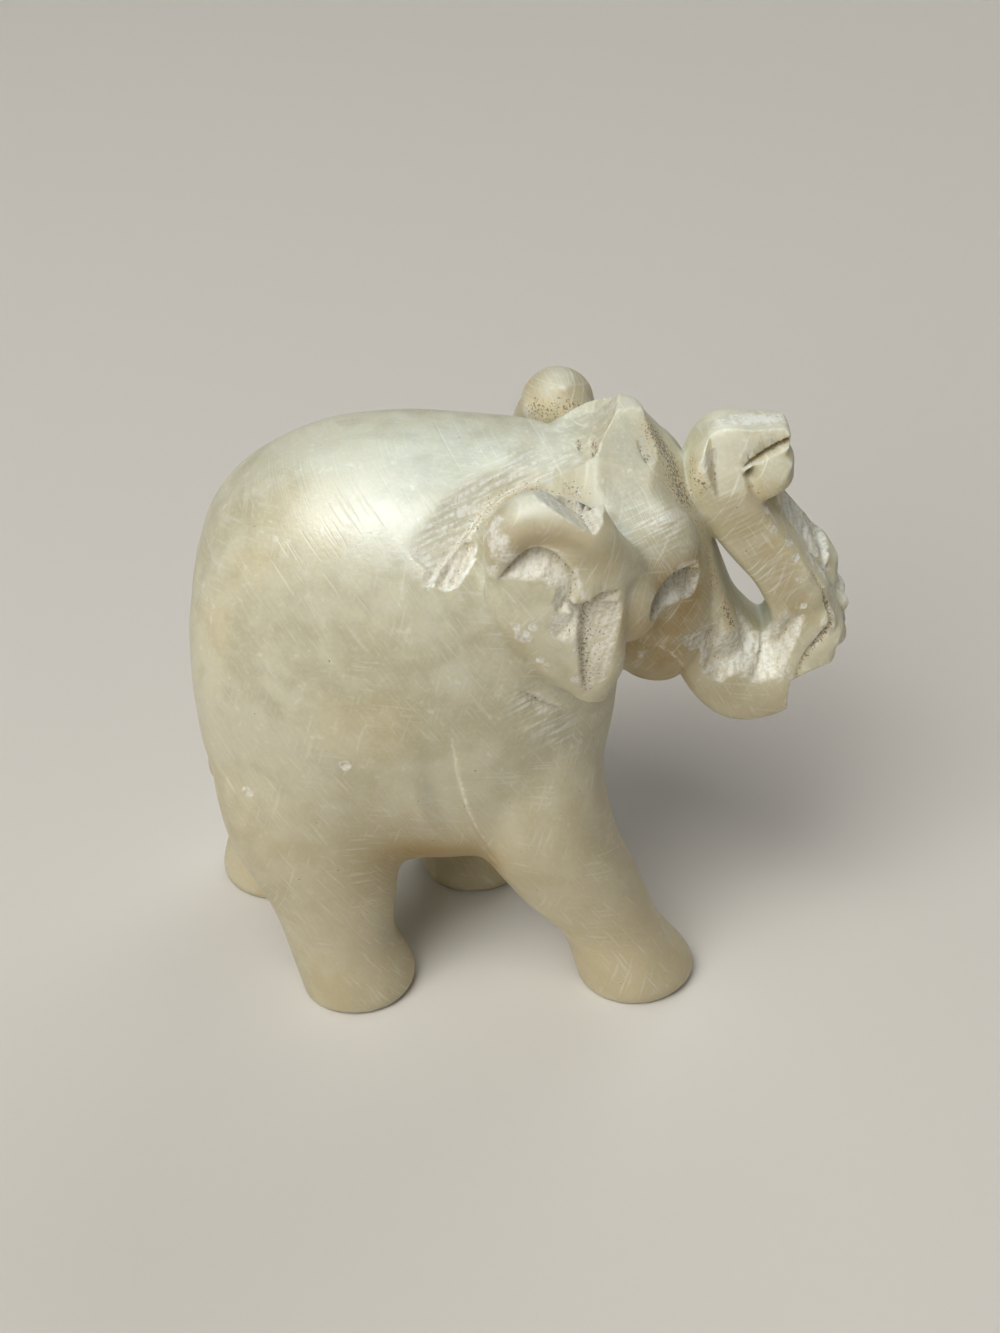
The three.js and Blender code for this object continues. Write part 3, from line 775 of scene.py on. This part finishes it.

# %% [markdown]
# Handling leaves its own marks: grime settles on the brow, in the crotch of the trunk and round the base
# of each ear, and some places are bruised to chalk. Two more are painted light: an amber glow on thin
# parts, as if light passed through them, and warm amber shade under the jaw, on the cheek, in the mouth and
# under the belly. Each is a soft spot along a path, written into the same marks: the path, its width, its
# amount.

# %% Grime, painted glow and painted shade
def stain(name, path, width, amount):
    """Adds a mark along a path, fading as the bell curve exp(-(d/width)^2) of the distance d."""
    path = np.array(path, float)
    near = np.flatnonzero(((skin > path.min(0) - 3 * width) & (skin < path.max(0) + 3 * width)).all(1))
    best = np.full(len(near), np.inf)
    for a, b in zip(path[:-1], path[1:]):
        t = np.clip((skin[near] - a) @ (b - a) / ((b - a) @ (b - a)), 0, 1)
        best = np.minimum(best, np.linalg.norm(skin[near] - a - t[:, None] * (b - a), axis=1))
    marks[name][near] = np.maximum(marks[name][near], amount * np.exp(-((best / width) ** 2)))


GRIME = [
    ([(11.6, -1.1, 55.4), (12.4, -1.8, 54.2), (13.1, -2.6, 53.1), (13.5, -3.7, 52.2), (14.0, -4.5, 51.0)],
     1.8, 1.0),
    ([(6.6, -14.2, 46.4), (6.4, -14.0, 41.0), (5.9, -13.4, 38.0)], 1.6, 0.5),
    ([(14.6, -3.4, 51.4), (15.0, -5.0, 49.6), (15.8, -5.0, 46.4), (17.0, -5.0, 43.0)], 1.2, 0.65),
    ([(15.2, -2.0, 53.0), (15.6, -3.6, 52.0)], 1.2, 0.8),
    ([(18.3, -4.9, 40.4), (19.0, -4.8, 38.4)], 0.7, 0.9),
    ([(0.0, 9.0, 52.6), (3.5, 8.6, 52.8), (7.0, 8.0, 53.4)], 1.5, 0.8),
    ([(13.0, -9.4, 45.8), (15.0, -7.8, 45.6)], 0.8, 0.8),
    ([(-3.6, -9.4, 51.0), (-1.1, -7.0, 52.2), (1.4, -6.0, 52.6), (4.4, -6.6, 53.2), (5.6, -8.0, 53.4)],
     0.9, 0.8),
    ([(3.4, -9.5, 54.0), (5.2, -11.5, 53.4)], 1.0, 0.5),
    ([(20.0, -3.2, 51.4), (21.6, -2.8, 49.6)], 0.7, 0.7),
]
# Painted light: amber glow on thin parts of the trunk, the ears, the far knob and the far front leg, and
# amber painted shade under the jaw, in the mouth, on the cheek and under the belly.
PAINTED_GLOW_AND_SHADE = [
    ([(18.0, -4.8, 31.0), (21.0, -4.6, 29.0), (24.0, -4.4, 30.0)], 2.6, 0.35),
    ([(19.0, -3.6, 50.0), (22.0, -3.8, 45.0), (25.0, -4.0, 39.0)], 2.4, 0.5),
    ([(-1.0, -14.4, 52.4), (3.0, -14.6, 53.0), (7.0, -13.6, 50.6)], 2.2, 0.6),
    ([(1.0, 12.0, 54.0), (6.0, 12.0, 54.0)], 3.5, 0.5),
    ([(10.0, -8.0, 38.0), (13.0, -7.0, 37.0), (12.0, 0.0, 32.0)], 4.5, 0.9),
    ([(12.0, -10.0, 46.0), (15.0, -8.0, 46.0)], 2.2, 1.0),
    ([(8.5, -11.5, 44.0), (11.0, -10.5, 42.0), (13.5, -8.4, 40.5), (14.6, -7.6, 43.0)], 3.0, 1.0),
    ([(-9.5, -12.0, 17.5), (-4.5, -11.0, 17.0)], 4.0, 1.0),
    ([(0.0, -14.6, 43.0), (1.5, -14.0, 39.5)], 2.5, 0.35),
    ([(-10.5, -11.0, 22.0), (-9.0, -9.0, 15.0)], 3.0, 0.7),
    ([(-4.0, 8.8, 6.0), (-3.0, 8.6, 14.0)], 5.0, 0.9),
]
CHALKED = [
    ([(-1.8, -13.9, 53.4), (-1.2, -14.7, 51.6)], 1.2, 0.9),
    ([(17.4, 0.2, 55.2), (20.0, 0.8, 55.9), (22.8, 1.0, 56.0)], 1.1, 0.95),
    ([(26.0, -2.5, 43.9), (28.2, -2.4, 40.2)], 1.0, 0.7),
    ([(29.6, 0.8, 38.5), (29.8, 0.4, 34.5), (28.4, 0.2, 31.4)], 0.9, 0.8),
    ([(1.0, 9.6, 51.8), (6.5, 9.4, 52.0)], 1.3, 0.8),
    ([(27.9, -2.8, 38.6), (27.7, -3.2, 36.0), (26.4, -3.6, 33.4), (25.6, -3.8, 31.6)], 0.5, 0.8),
    ([(4.5, -12.8, 30.0), (7.5, -10.6, 29.0)], 1.6, 0.5),
    ([(9.8, -6.3, 54.0), (7.4, -7.2, 53.8)], 1.3, 0.5),
    ([(23.3, -4.2, 35.2), (24.0, -4.6, 33.4), (24.4, -4.6, 32.4)], 0.9, 0.8),
]
STROKES = [
    ([(-1.0, -13.2, 53.6), (3.0, -12.4, 55.2)], 1.2, 0.4),
    ([(-7.0, -11.6, 49.2), (-4.6, -8.6, 52.0), (-1.6, -5.4, 53.6), (2.0, -3.6, 54.0)], 1.7, 1.0),
    ([(10.2, -9.5, 51.0), (12.4, -8.7, 50.8)], 1.8, 0.9),
    ([(1.1, -13.5, 35.5), (3.6, -12.2, 32.5)], 1.8, 0.8),
    ([(17.5, -3.8, 51.0), (23.5, -4.0, 42.5)], 1.8, 0.25),
]
for name, spots in (("dirt", GRIME), ("glow_and_shade", PAINTED_GLOW_AND_SHADE), ("chalk", CHALKED), ("rake", STROKES)):
    for path, width, amount in spots:
        stain(name, path, width, amount)
print("stains", len(GRIME) + len(PAINTED_GLOW_AND_SHADE) + len(CHALKED) + len(STROKES))

# %% [markdown]
# Small flakes are knocked off, each planed flat across the way the surface faces there. Edges are rubbed
# chalky and creases hold dirt everywhere, so those two are read from the shape: a point above the blurred
# skin lies on an edge, a point below it in a crease.

# %% Flakes and worn edges
FLAKES = [
    (-23.8, -11.9, 25.3, 0.7), (-14.9, -14.7, 30.2, 0.6), (0.4, -14.8, 43.6, 0.8), (1.2, -15.1, 44.7, 0.45),
    (1.8, -14.6, 41.1, 0.45), (4.9, -14.6, 39.2, 0.5), (-0.2, -14.7, 44.6, 0.5), (21.5, -3.1, 49.0, 0.5),
    (22.1, -3.8, 47.5, 0.4), (23.6, -3.5, 46.1, 0.5), (24.3, -3.9, 44.7, 0.45), (24.8, -4.1, 42.5, 0.35),
    (25.3, -4.2, 39.9, 0.35), (27.3, -0.8, 41.8, 0.6),
]
CHIP_DEPTH, CHIP_WAVES = 0.08, 0.1
BLUR_TIMES = 10
EDGE_HEIGHT, CREASE_DEPTH = (0.03, 0.13), (0.05, 0.16)
for x, y, z, size in FLAKES:
    spot = np.array((x, y, z))
    near = np.linalg.norm(skin - spot, axis=1)
    nearest = np.argmin(near)
    facing = normals(skin, quads)[nearest]
    flat = (skin - skin[nearest]) @ facing + CHIP_DEPTH + CHIP_WAVES * waves(skin, 0.8, 6)
    chip = (near < 2 * size) * step(near, 1.2 * size, 0.7 * size)
    skin -= np.outer(chip * np.maximum(flat, 0), facing)
    marks["chalk"] = np.maximum(marks["chalk"], chip)
blurred = skin
for _ in range(BLUR_TIMES):
    blurred = around(blurred, quads)
proud = np.einsum("ij,ij->i", skin - blurred, normals(skin, quads))
marks["chalk"] = np.maximum(marks["chalk"], 0.5 * step(proud, *EDGE_HEIGHT))
marks["dirt"] = np.maximum(marks["dirt"], 0.6 * step(-proud, *CREASE_DEPTH))
print("flakes", len(FLAKES))

# %% [markdown]
# The carved net goes into one mesh. A Decimate modifier then takes out points where the stone is plain
# and keeps them along the cuts, so the piece stays light without losing an edge.

# %% The finished stone
TRIANGLES = 190000


def make_stone():
    """One mesh in metres with the marks as point attributes, thinned to TRIANGLES."""
    share = TRIANGLES / (2 * len(quads))
    mesh = finished_mesh(skin * MM, quads, "DECIMATE", {"ratio": share}, marks)
    mesh.shade_smooth()
    mesh.name = "elephant_stone"
    piece = bpy.data.objects.new("elephant_stone", mesh)
    bpy.context.scene.collection.objects.link(piece)
    kept = [attribute.name for attribute in mesh.attributes if attribute.name in marks]
    print("stone", len(mesh.polygons), "triangles, marks", kept)
    return piece


stone = make_stone()
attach(stone, "root")
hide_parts("elephant")

# %% [markdown]
# Soapstone is mostly talc: pale green-cream, cloudy, and a little see-through, so light spreads under
# its surface. Where a blade has bruised it the surface is chalk white and no longer lets light in. So the
# finish is two shaders, waxy stone and dry chalk, mixed by the chalk mark. The sums are written as plain
# Python: a small class stands for a socket of the node tree and turns + - * into Math nodes.

# %% Sums with sockets
class Socket:
    """An output socket of one node tree, with arithmetic that adds Math nodes to the tree."""

    def __init__(self, tree, output):
        self.tree, self.output = tree, output

    def node(self, kind, settings=(), inputs=(), result=0):
        """Adds a node: first its settings by name, then values for its inputs or links to them."""
        made = self.tree.nodes.new(kind)
        for name, value in dict(settings).items():
            setattr(made, name, value)
        for name, value in dict(inputs).items():
            if isinstance(value, Socket):
                self.tree.links.new(value.output, made.inputs[name])
            else:
                made.inputs[name].default_value = value
        return Socket(self.tree, made.outputs[result])

    def math(self, operation, first, second):
        """A Math node of two sockets or numbers."""
        return self.node("ShaderNodeMath", {"operation": operation}, {0: first, 1: second})

    def __add__(self, other):
        return self.math("ADD", self, other)

    def __sub__(self, other):
        return self.math("SUBTRACT", self, other)

    def __mul__(self, other):
        return self.math("MULTIPLY", self, other)

    def __rsub__(self, other):
        return self.math("SUBTRACT", other, self)

    __radd__, __rmul__ = __add__, __mul__

    def ramp(self, low, high):
        """0 at low, 1 at high, an eased climb between."""
        settings = {"interpolation_type": "SMOOTHSTEP"}
        return self.node("ShaderNodeMapRange", settings, {"Value": self, "From Min": low, "From Max": high})

    def dot(self, axis):
        """The distance along an axis."""
        return self.node("ShaderNodeVectorMath", {"operation": "DOT_PRODUCT"}, {0: self, 1: axis}, "Value")

    def scaled(self, factor):
        """The vector times a number."""
        return self.node("ShaderNodeVectorMath", {"operation": "SCALE"}, {0: self, "Scale": factor})

    def noise(self, scale, detail=2.0, distortion=0.0):
        """A noise texture read at this place."""
        inputs = {"Vector": self, "Scale": scale, "Detail": detail, "Distortion": distortion}
        return self.node("ShaderNodeTexNoise", {}, inputs)

    def mix(self, first, second):
        """Colours first and second, mixed by this socket."""
        settings = {"data_type": "RGBA"}
        return self.node("ShaderNodeMix", settings, {0: self, 6: first, 7: second}, 2)


material = bpy.data.materials.new("soapstone_finish")
material.use_nodes = True
tree = material.node_tree
tree.nodes.clear()
place = Socket(tree, tree.nodes.new("ShaderNodeTexCoord").outputs["Object"]).scaled(1 / MM)
chalk_mark, dirt_mark, glow_and_shade_mark, rake_mark = (
    place.node("ShaderNodeAttribute", {"attribute_name": name}, {}, "Fac")
    for name in ("chalk", "dirt", "glow_and_shade", "rake")
)
print("marks in the material:", len(marks))

# %% [markdown]
# The stone itself: two sizes of cloud between a deeper olive cream and a paler one, faint yellow patches,
# fine grain, a painted amber glow where the piece is thin and painted amber shade on the cheek, jaw, mouth
# and belly, and a tan tone that grows down the legs towards the floor.

# %% Clouds and grain
OLIVE, CREAM, PALE = (0.48, 0.45, 0.305, 1), (0.61, 0.59, 0.445, 1), (0.74, 0.74, 0.65, 1)
YELLOW, AMBER_GLOW_SHADE, TAN = (0.58, 0.475, 0.235, 1), (0.34, 0.225, 0.065, 1), (0.47, 0.388, 0.225, 1)
clouds = place.noise(0.08, 2.0, 0.6)
mottle = place.noise(0.45, 3.0)
grain = place.noise(2.6, 2.0)
stone_colour = (clouds * 0.55 + mottle * 0.45).ramp(0.38, 0.62).mix(OLIVE, CREAM)
stone_colour = (place.noise(0.055, 2.0).ramp(0.5, 0.68) * 0.35).mix(stone_colour, YELLOW)
flecks = place.noise(1.1, 2.0).ramp(0.6, 0.72) * mottle.ramp(0.4, 0.6)
stone_colour = (flecks * 0.5 + grain.ramp(0.45, 0.75) * 0.18).mix(stone_colour, PALE)
low_down = place.dot((0, 0, 1)).ramp(42.0, 12.0)
stone_colour = (low_down * 0.55).mix(stone_colour, TAN)
# Painted light: amber glow where thin parts would let light through, and amber painted shade on the cheek,
# jaw, mouth and belly.
stone_colour = (glow_and_shade_mark * (0.5 + mottle * 0.7)).mix(stone_colour, AMBER_GLOW_SHADE)
print("nodes with clouds", len(tree.nodes))

# %% [markdown]
# Years of rubbing leave families of fine straight scratches. One family is noise drawn out along a
# direction and kept only at its peaks, with a second noise to break it into patches.

# %% Scratches
QUICK, SLOW, PATCH_SCALE = 3.2, 0.28, 0.16


def scratches(along, across, seed, patch_low, peak=0.57, size=1.0):
    """Noise of two stretched coordinates, slow along the scratch and quick across it, above the peak."""
    stretched = place.node("ShaderNodeCombineXYZ", {}, {
        0: place.dot(across) * (QUICK / size), 1: place.dot(along) * (SLOW / size), 2: seed,
    })
    inputs = {"Vector": place, "W": seed, "Scale": PATCH_SCALE, "Detail": 0.0}
    patches = place.node("ShaderNodeTexNoise", {"noise_dimensions": "4D"}, inputs)
    return stretched.noise(1.0, 1.0).ramp(peak, peak + 0.15) * patches.ramp(patch_low, patch_low + 0.16)


hatch = scratches((0.55, 0.25, -0.8), (0.8, 0.2, 0.55), 3.0, 0.44)
level_lines = scratches((0.99, 0.0, 0.1), (0.1, 0.25, 0.97), 8.0, 0.5)
steep_lines = scratches((0.3, -0.2, 0.93), (0.95, 0.1, -0.28), 13.0, 0.52)
brushed = scratches((0.5, 0.2, -0.84), (0.84, 0.1, 0.5), 41.0, 0.46, 0.5, 0.6)
raked = scratches((0.85, 0.42, 0.3), (-0.45, 0.5, 0.74), 21.0, 0.0, 0.46) * rake_mark
on_head = place.dot((1, 0, 0)).ramp(-4.0, 3.0) * place.dot((0, 0, 1)).ramp(31.0, 38.0)
scuffs = scratches((0.6, -0.35, 0.7), (0.75, 0.3, -0.55), 31.0, 0.2, 0.6) * on_head
scratched = place.math("MAXIMUM", place.math("MAXIMUM", hatch, level_lines), steep_lines)
stone_colour = (scratched * 0.28 + brushed * 0.12 + raked * 0.85 + scuffs * 0.5).mix(stone_colour, PALE)
print("nodes with scratches", len(tree.nodes))

# %% [markdown]
# Chalk has a ragged edge and a streaky, pitted floor; grime is a faint brown wash with dark grains in it.
# A few hair cracks, pinholes, the light streak of a long scrape down the rump and a painted highlight along
# the back edge of the near front leg finish the surface.

# %% Chalk and grime
WHITE, DUST = (0.77, 0.76, 0.69, 1), (0.54, 0.50, 0.385, 1)
WASH, SOIL = (0.58, 0.475, 0.27, 1), (0.17, 0.125, 0.07, 1)
pits = place.noise(3.4, 2.0)
torn = place.noise(1.3, 3.0)
streaks = place.node("ShaderNodeCombineXYZ", {}, {
    0: place.dot((0.93, 0.2, -0.3)) * 2.6, 1: place.dot((0.3, 0.1, 0.95)) * 0.5, 2: 5.0,
}).noise(1.0, 2.0)
chalk = (chalk_mark + raked * 0.7 + (torn - 0.5) * 1.0 + (streaks - 0.5) * 0.3).ramp(0.25, 0.8)
chalk_colour = (pits * 0.35 + torn * 0.25 + streaks * 0.4).ramp(0.38, 0.58).mix(DUST, WHITE)
specks = place.noise(4.6, 2.0)
soil = (specks + dirt_mark * 0.36).ramp(0.76, 0.92) * dirt_mark.ramp(0.1, 0.4) * 0.85
pinholes = place.noise(3.0, 0.0).ramp(0.87, 0.91) * 0.7
wash = dirt_mark * torn.ramp(0.3, 0.6) * 0.8
soil = place.math("MAXIMUM", soil, pinholes)
wavy = place.node("ShaderNodeTexNoise", {}, {"Vector": place, "Scale": 0.9, "Detail": 1.0}, "Color")
wavy = wavy.node("ShaderNodeVectorMath", {"operation": "MULTIPLY_ADD"}, {0: wavy, 1: (0.7,) * 3, 2: place})


def hairline(points, width):
    """A thin line over the surface: 1 on the straight runs between points, 0 beyond the width."""
    total = 0.0
    for a, b in zip(points[:-1], points[1:]):
        start, run = Vector(a) + Vector((0.35,) * 3), Vector(b) - Vector(a)
        offset = wavy.node("ShaderNodeVectorMath", {"operation": "SUBTRACT"}, {0: wavy, 1: start})
        t = offset.dot(run / run.length_squared)
        t = t.node("ShaderNodeClamp", {}, {"Value": t})
        foot = t.node("ShaderNodeVectorMath", {"operation": "SCALE"}, {0: run, "Scale": t})
        gap = offset.node("ShaderNodeVectorMath", {"operation": "DISTANCE"}, {0: offset, 1: foot}, "Value")
        total = place.math("MAXIMUM", total, gap.ramp(width, width * 0.4))
    return total


CRACKS = [[(-23.9, -11.2, 40.4), (-23.4, -11.6, 38.0), (-22.0, -12.6, 34.0)],
          [(-12.4, -14.4, 43.6), (-10.6, -15.0, 40.6), (-9.0, -15.2, 38.6)]]
# The first streak is a pale scrape on the rump; the second is a painted highlight along the raised back
# edge of the near front leg.
SCRAPE_AND_HIGHLIGHT_STREAKS = [[(-26.4, -9.0, 44.0), (-26.0, -9.6, 36.0), (-24.6, -10.6, 28.0), (-24.0, -11.4, 25.0)],
           [(-5.8, -15.0, 34.6), (-5.4, -14.8, 30.0), (-4.6, -14.0, 25.0), (-3.0, -13.0, 20.5)]]
for points in CRACKS:
    stone_colour = (hairline(points, 0.16) * 0.7).mix(stone_colour, WASH)
# Pale streaks: a scrape, and a painted highlight on the leg's edge.
for points in SCRAPE_AND_HIGHLIGHT_STREAKS:
    stone_colour = (hairline(points, 0.2) * 0.4).mix(stone_colour, PALE)
stone_colour = wash.mix(stone_colour, WASH)
stone_colour = soil.mix(stone_colour, SOIL)
chalk_colour = (wash * 0.85).mix(chalk_colour, WASH)
chalk_colour = soil.mix(chalk_colour, SOIL)
print("nodes with chalk and grime", len(tree.nodes))

# %% [markdown]
# The waxy stone is a Principled shader with light spreading a few millimetres under the surface; the
# chalk is dry and rough. Fine bumps come from the same noises, so a scratch that looks pale is also a dent.

# %% Shaders
height = grain * 0.3 - hatch * 0.15 - brushed * 0.12 + chalk_mark * (pits * 0.5 + torn * 1.0)
bump = height.node("ShaderNodeBump", {}, {"Height": height, "Distance": 0.12 * MM, "Strength": 0.7})
waxy = place.node("ShaderNodeBsdfPrincipled", {}, {
    "Base Color": stone_colour, "Normal": bump,
    "Roughness": 0.4 + mottle * 0.08 + scratched * 0.1 + on_head * 0.14 + wash * 0.3,
    "IOR": 1.54, "Subsurface Weight": 0.6,
    "Subsurface Radius": (1.0, 0.8, 0.42), "Subsurface Scale": 2.4 * MM,
})
dry = place.node("ShaderNodeBsdfPrincipled", {}, {
    "Base Color": chalk_colour, "Normal": bump, "Roughness": 0.72 + wash * 0.2, "Specular IOR Level": 0.35,
})
both = chalk.node("ShaderNodeMixShader", {}, {0: chalk * 0.85, 1: waxy, 2: dry})
tree.links.new(both.output, tree.nodes.new("ShaderNodeOutputMaterial").inputs["Surface"])
stone.data.materials.append(material)
print("material nodes", len(tree.nodes))

# %% [markdown]
# The stone stands on a plain pale floor. Soft light from the front left models it, and a weaker one from
# behind shows the far side. Three panels that only shine show in the wax: a small window for the bright
# spot on the flank, a ceiling for the sheen of the upper flank, and a cool sky behind for the veil along
# the back. A panel that lights no diffuse surface is an ordinary area light with a ray switch off.

# %% Floor and light
FLOOR_SIZE = 4.0
AIM = Vector((0, 0, cad_high.z / 2))


def add_floor():
    """One square face at the soles' level, matt and pale."""
    half = FLOOR_SIZE / 2
    mesh = bpy.data.meshes.new("studio_floor")
    corners = [(-half, -half, 0), (half, -half, 0), (half, half, 0), (-half, half, 0)]
    mesh.from_pydata(corners, [], [(0, 1, 2, 3)])
    floor = bpy.data.objects.new("studio_floor", mesh)
    bpy.context.scene.collection.objects.link(floor)
    finish = bpy.data.materials.new("pale_floor")
    finish.use_nodes = True
    inputs = finish.node_tree.nodes["Principled BSDF"].inputs
    inputs["Base Color"].default_value = (0.68, 0.66, 0.62, 1)
    inputs["Roughness"].default_value = 0.8
    inputs["Specular IOR Level"].default_value = 0.0
    mesh.materials.append(finish)


def add_light(name, position, size, watts, colour, diffuse=True, glossy=True):
    """A square panel at a position in metres, turned to the middle of the stone."""
    data = bpy.data.lights.new(name, "AREA")
    data.size = size
    data.energy = watts
    data.color = colour
    light = bpy.data.objects.new(name, data)
    light.location = position
    light.rotation_euler = (AIM - light.location).to_track_quat("-Z", "Y").to_euler()
    light.visible_diffuse = diffuse
    light.visible_glossy = glossy
    bpy.context.scene.collection.objects.link(light)


add_floor()
add_light("key", (-0.3, -0.45, 1.05), 0.6, 6.6, (1.0, 0.97, 0.92), glossy=False)
add_light("front", (-0.65, -0.85, 0.75), 0.9, 8.0, (1.0, 0.98, 0.95), glossy=False)
add_light("back", (0.5, 0.95, 0.7), 0.9, 4.0, (1.0, 0.98, 0.95), glossy=False)
add_light("window", (-0.3, -0.45, 1.05), 0.46, 20.0, (0.92, 0.97, 1.0), diffuse=False)
add_light("ceiling", (-0.1, -0.35, 1.1), 1.3, 32.0, (0.8, 0.94, 1.0), diffuse=False)
add_light("sky", (-0.05, 0.62, 1.12), 1.25, 26.0, (0.66, 0.92, 1.0), diffuse=False)
world = bpy.data.worlds.new("studio")
world.use_nodes = True
world.node_tree.nodes["Background"].inputs[0].default_value = (0.5, 0.5, 0.5, 1)
world.node_tree.nodes["Background"].inputs[1].default_value = 0.2
bpy.context.scene.world = world
bpy.context.scene.view_settings.view_transform = "Standard"
print("lights", len(bpy.data.lights))
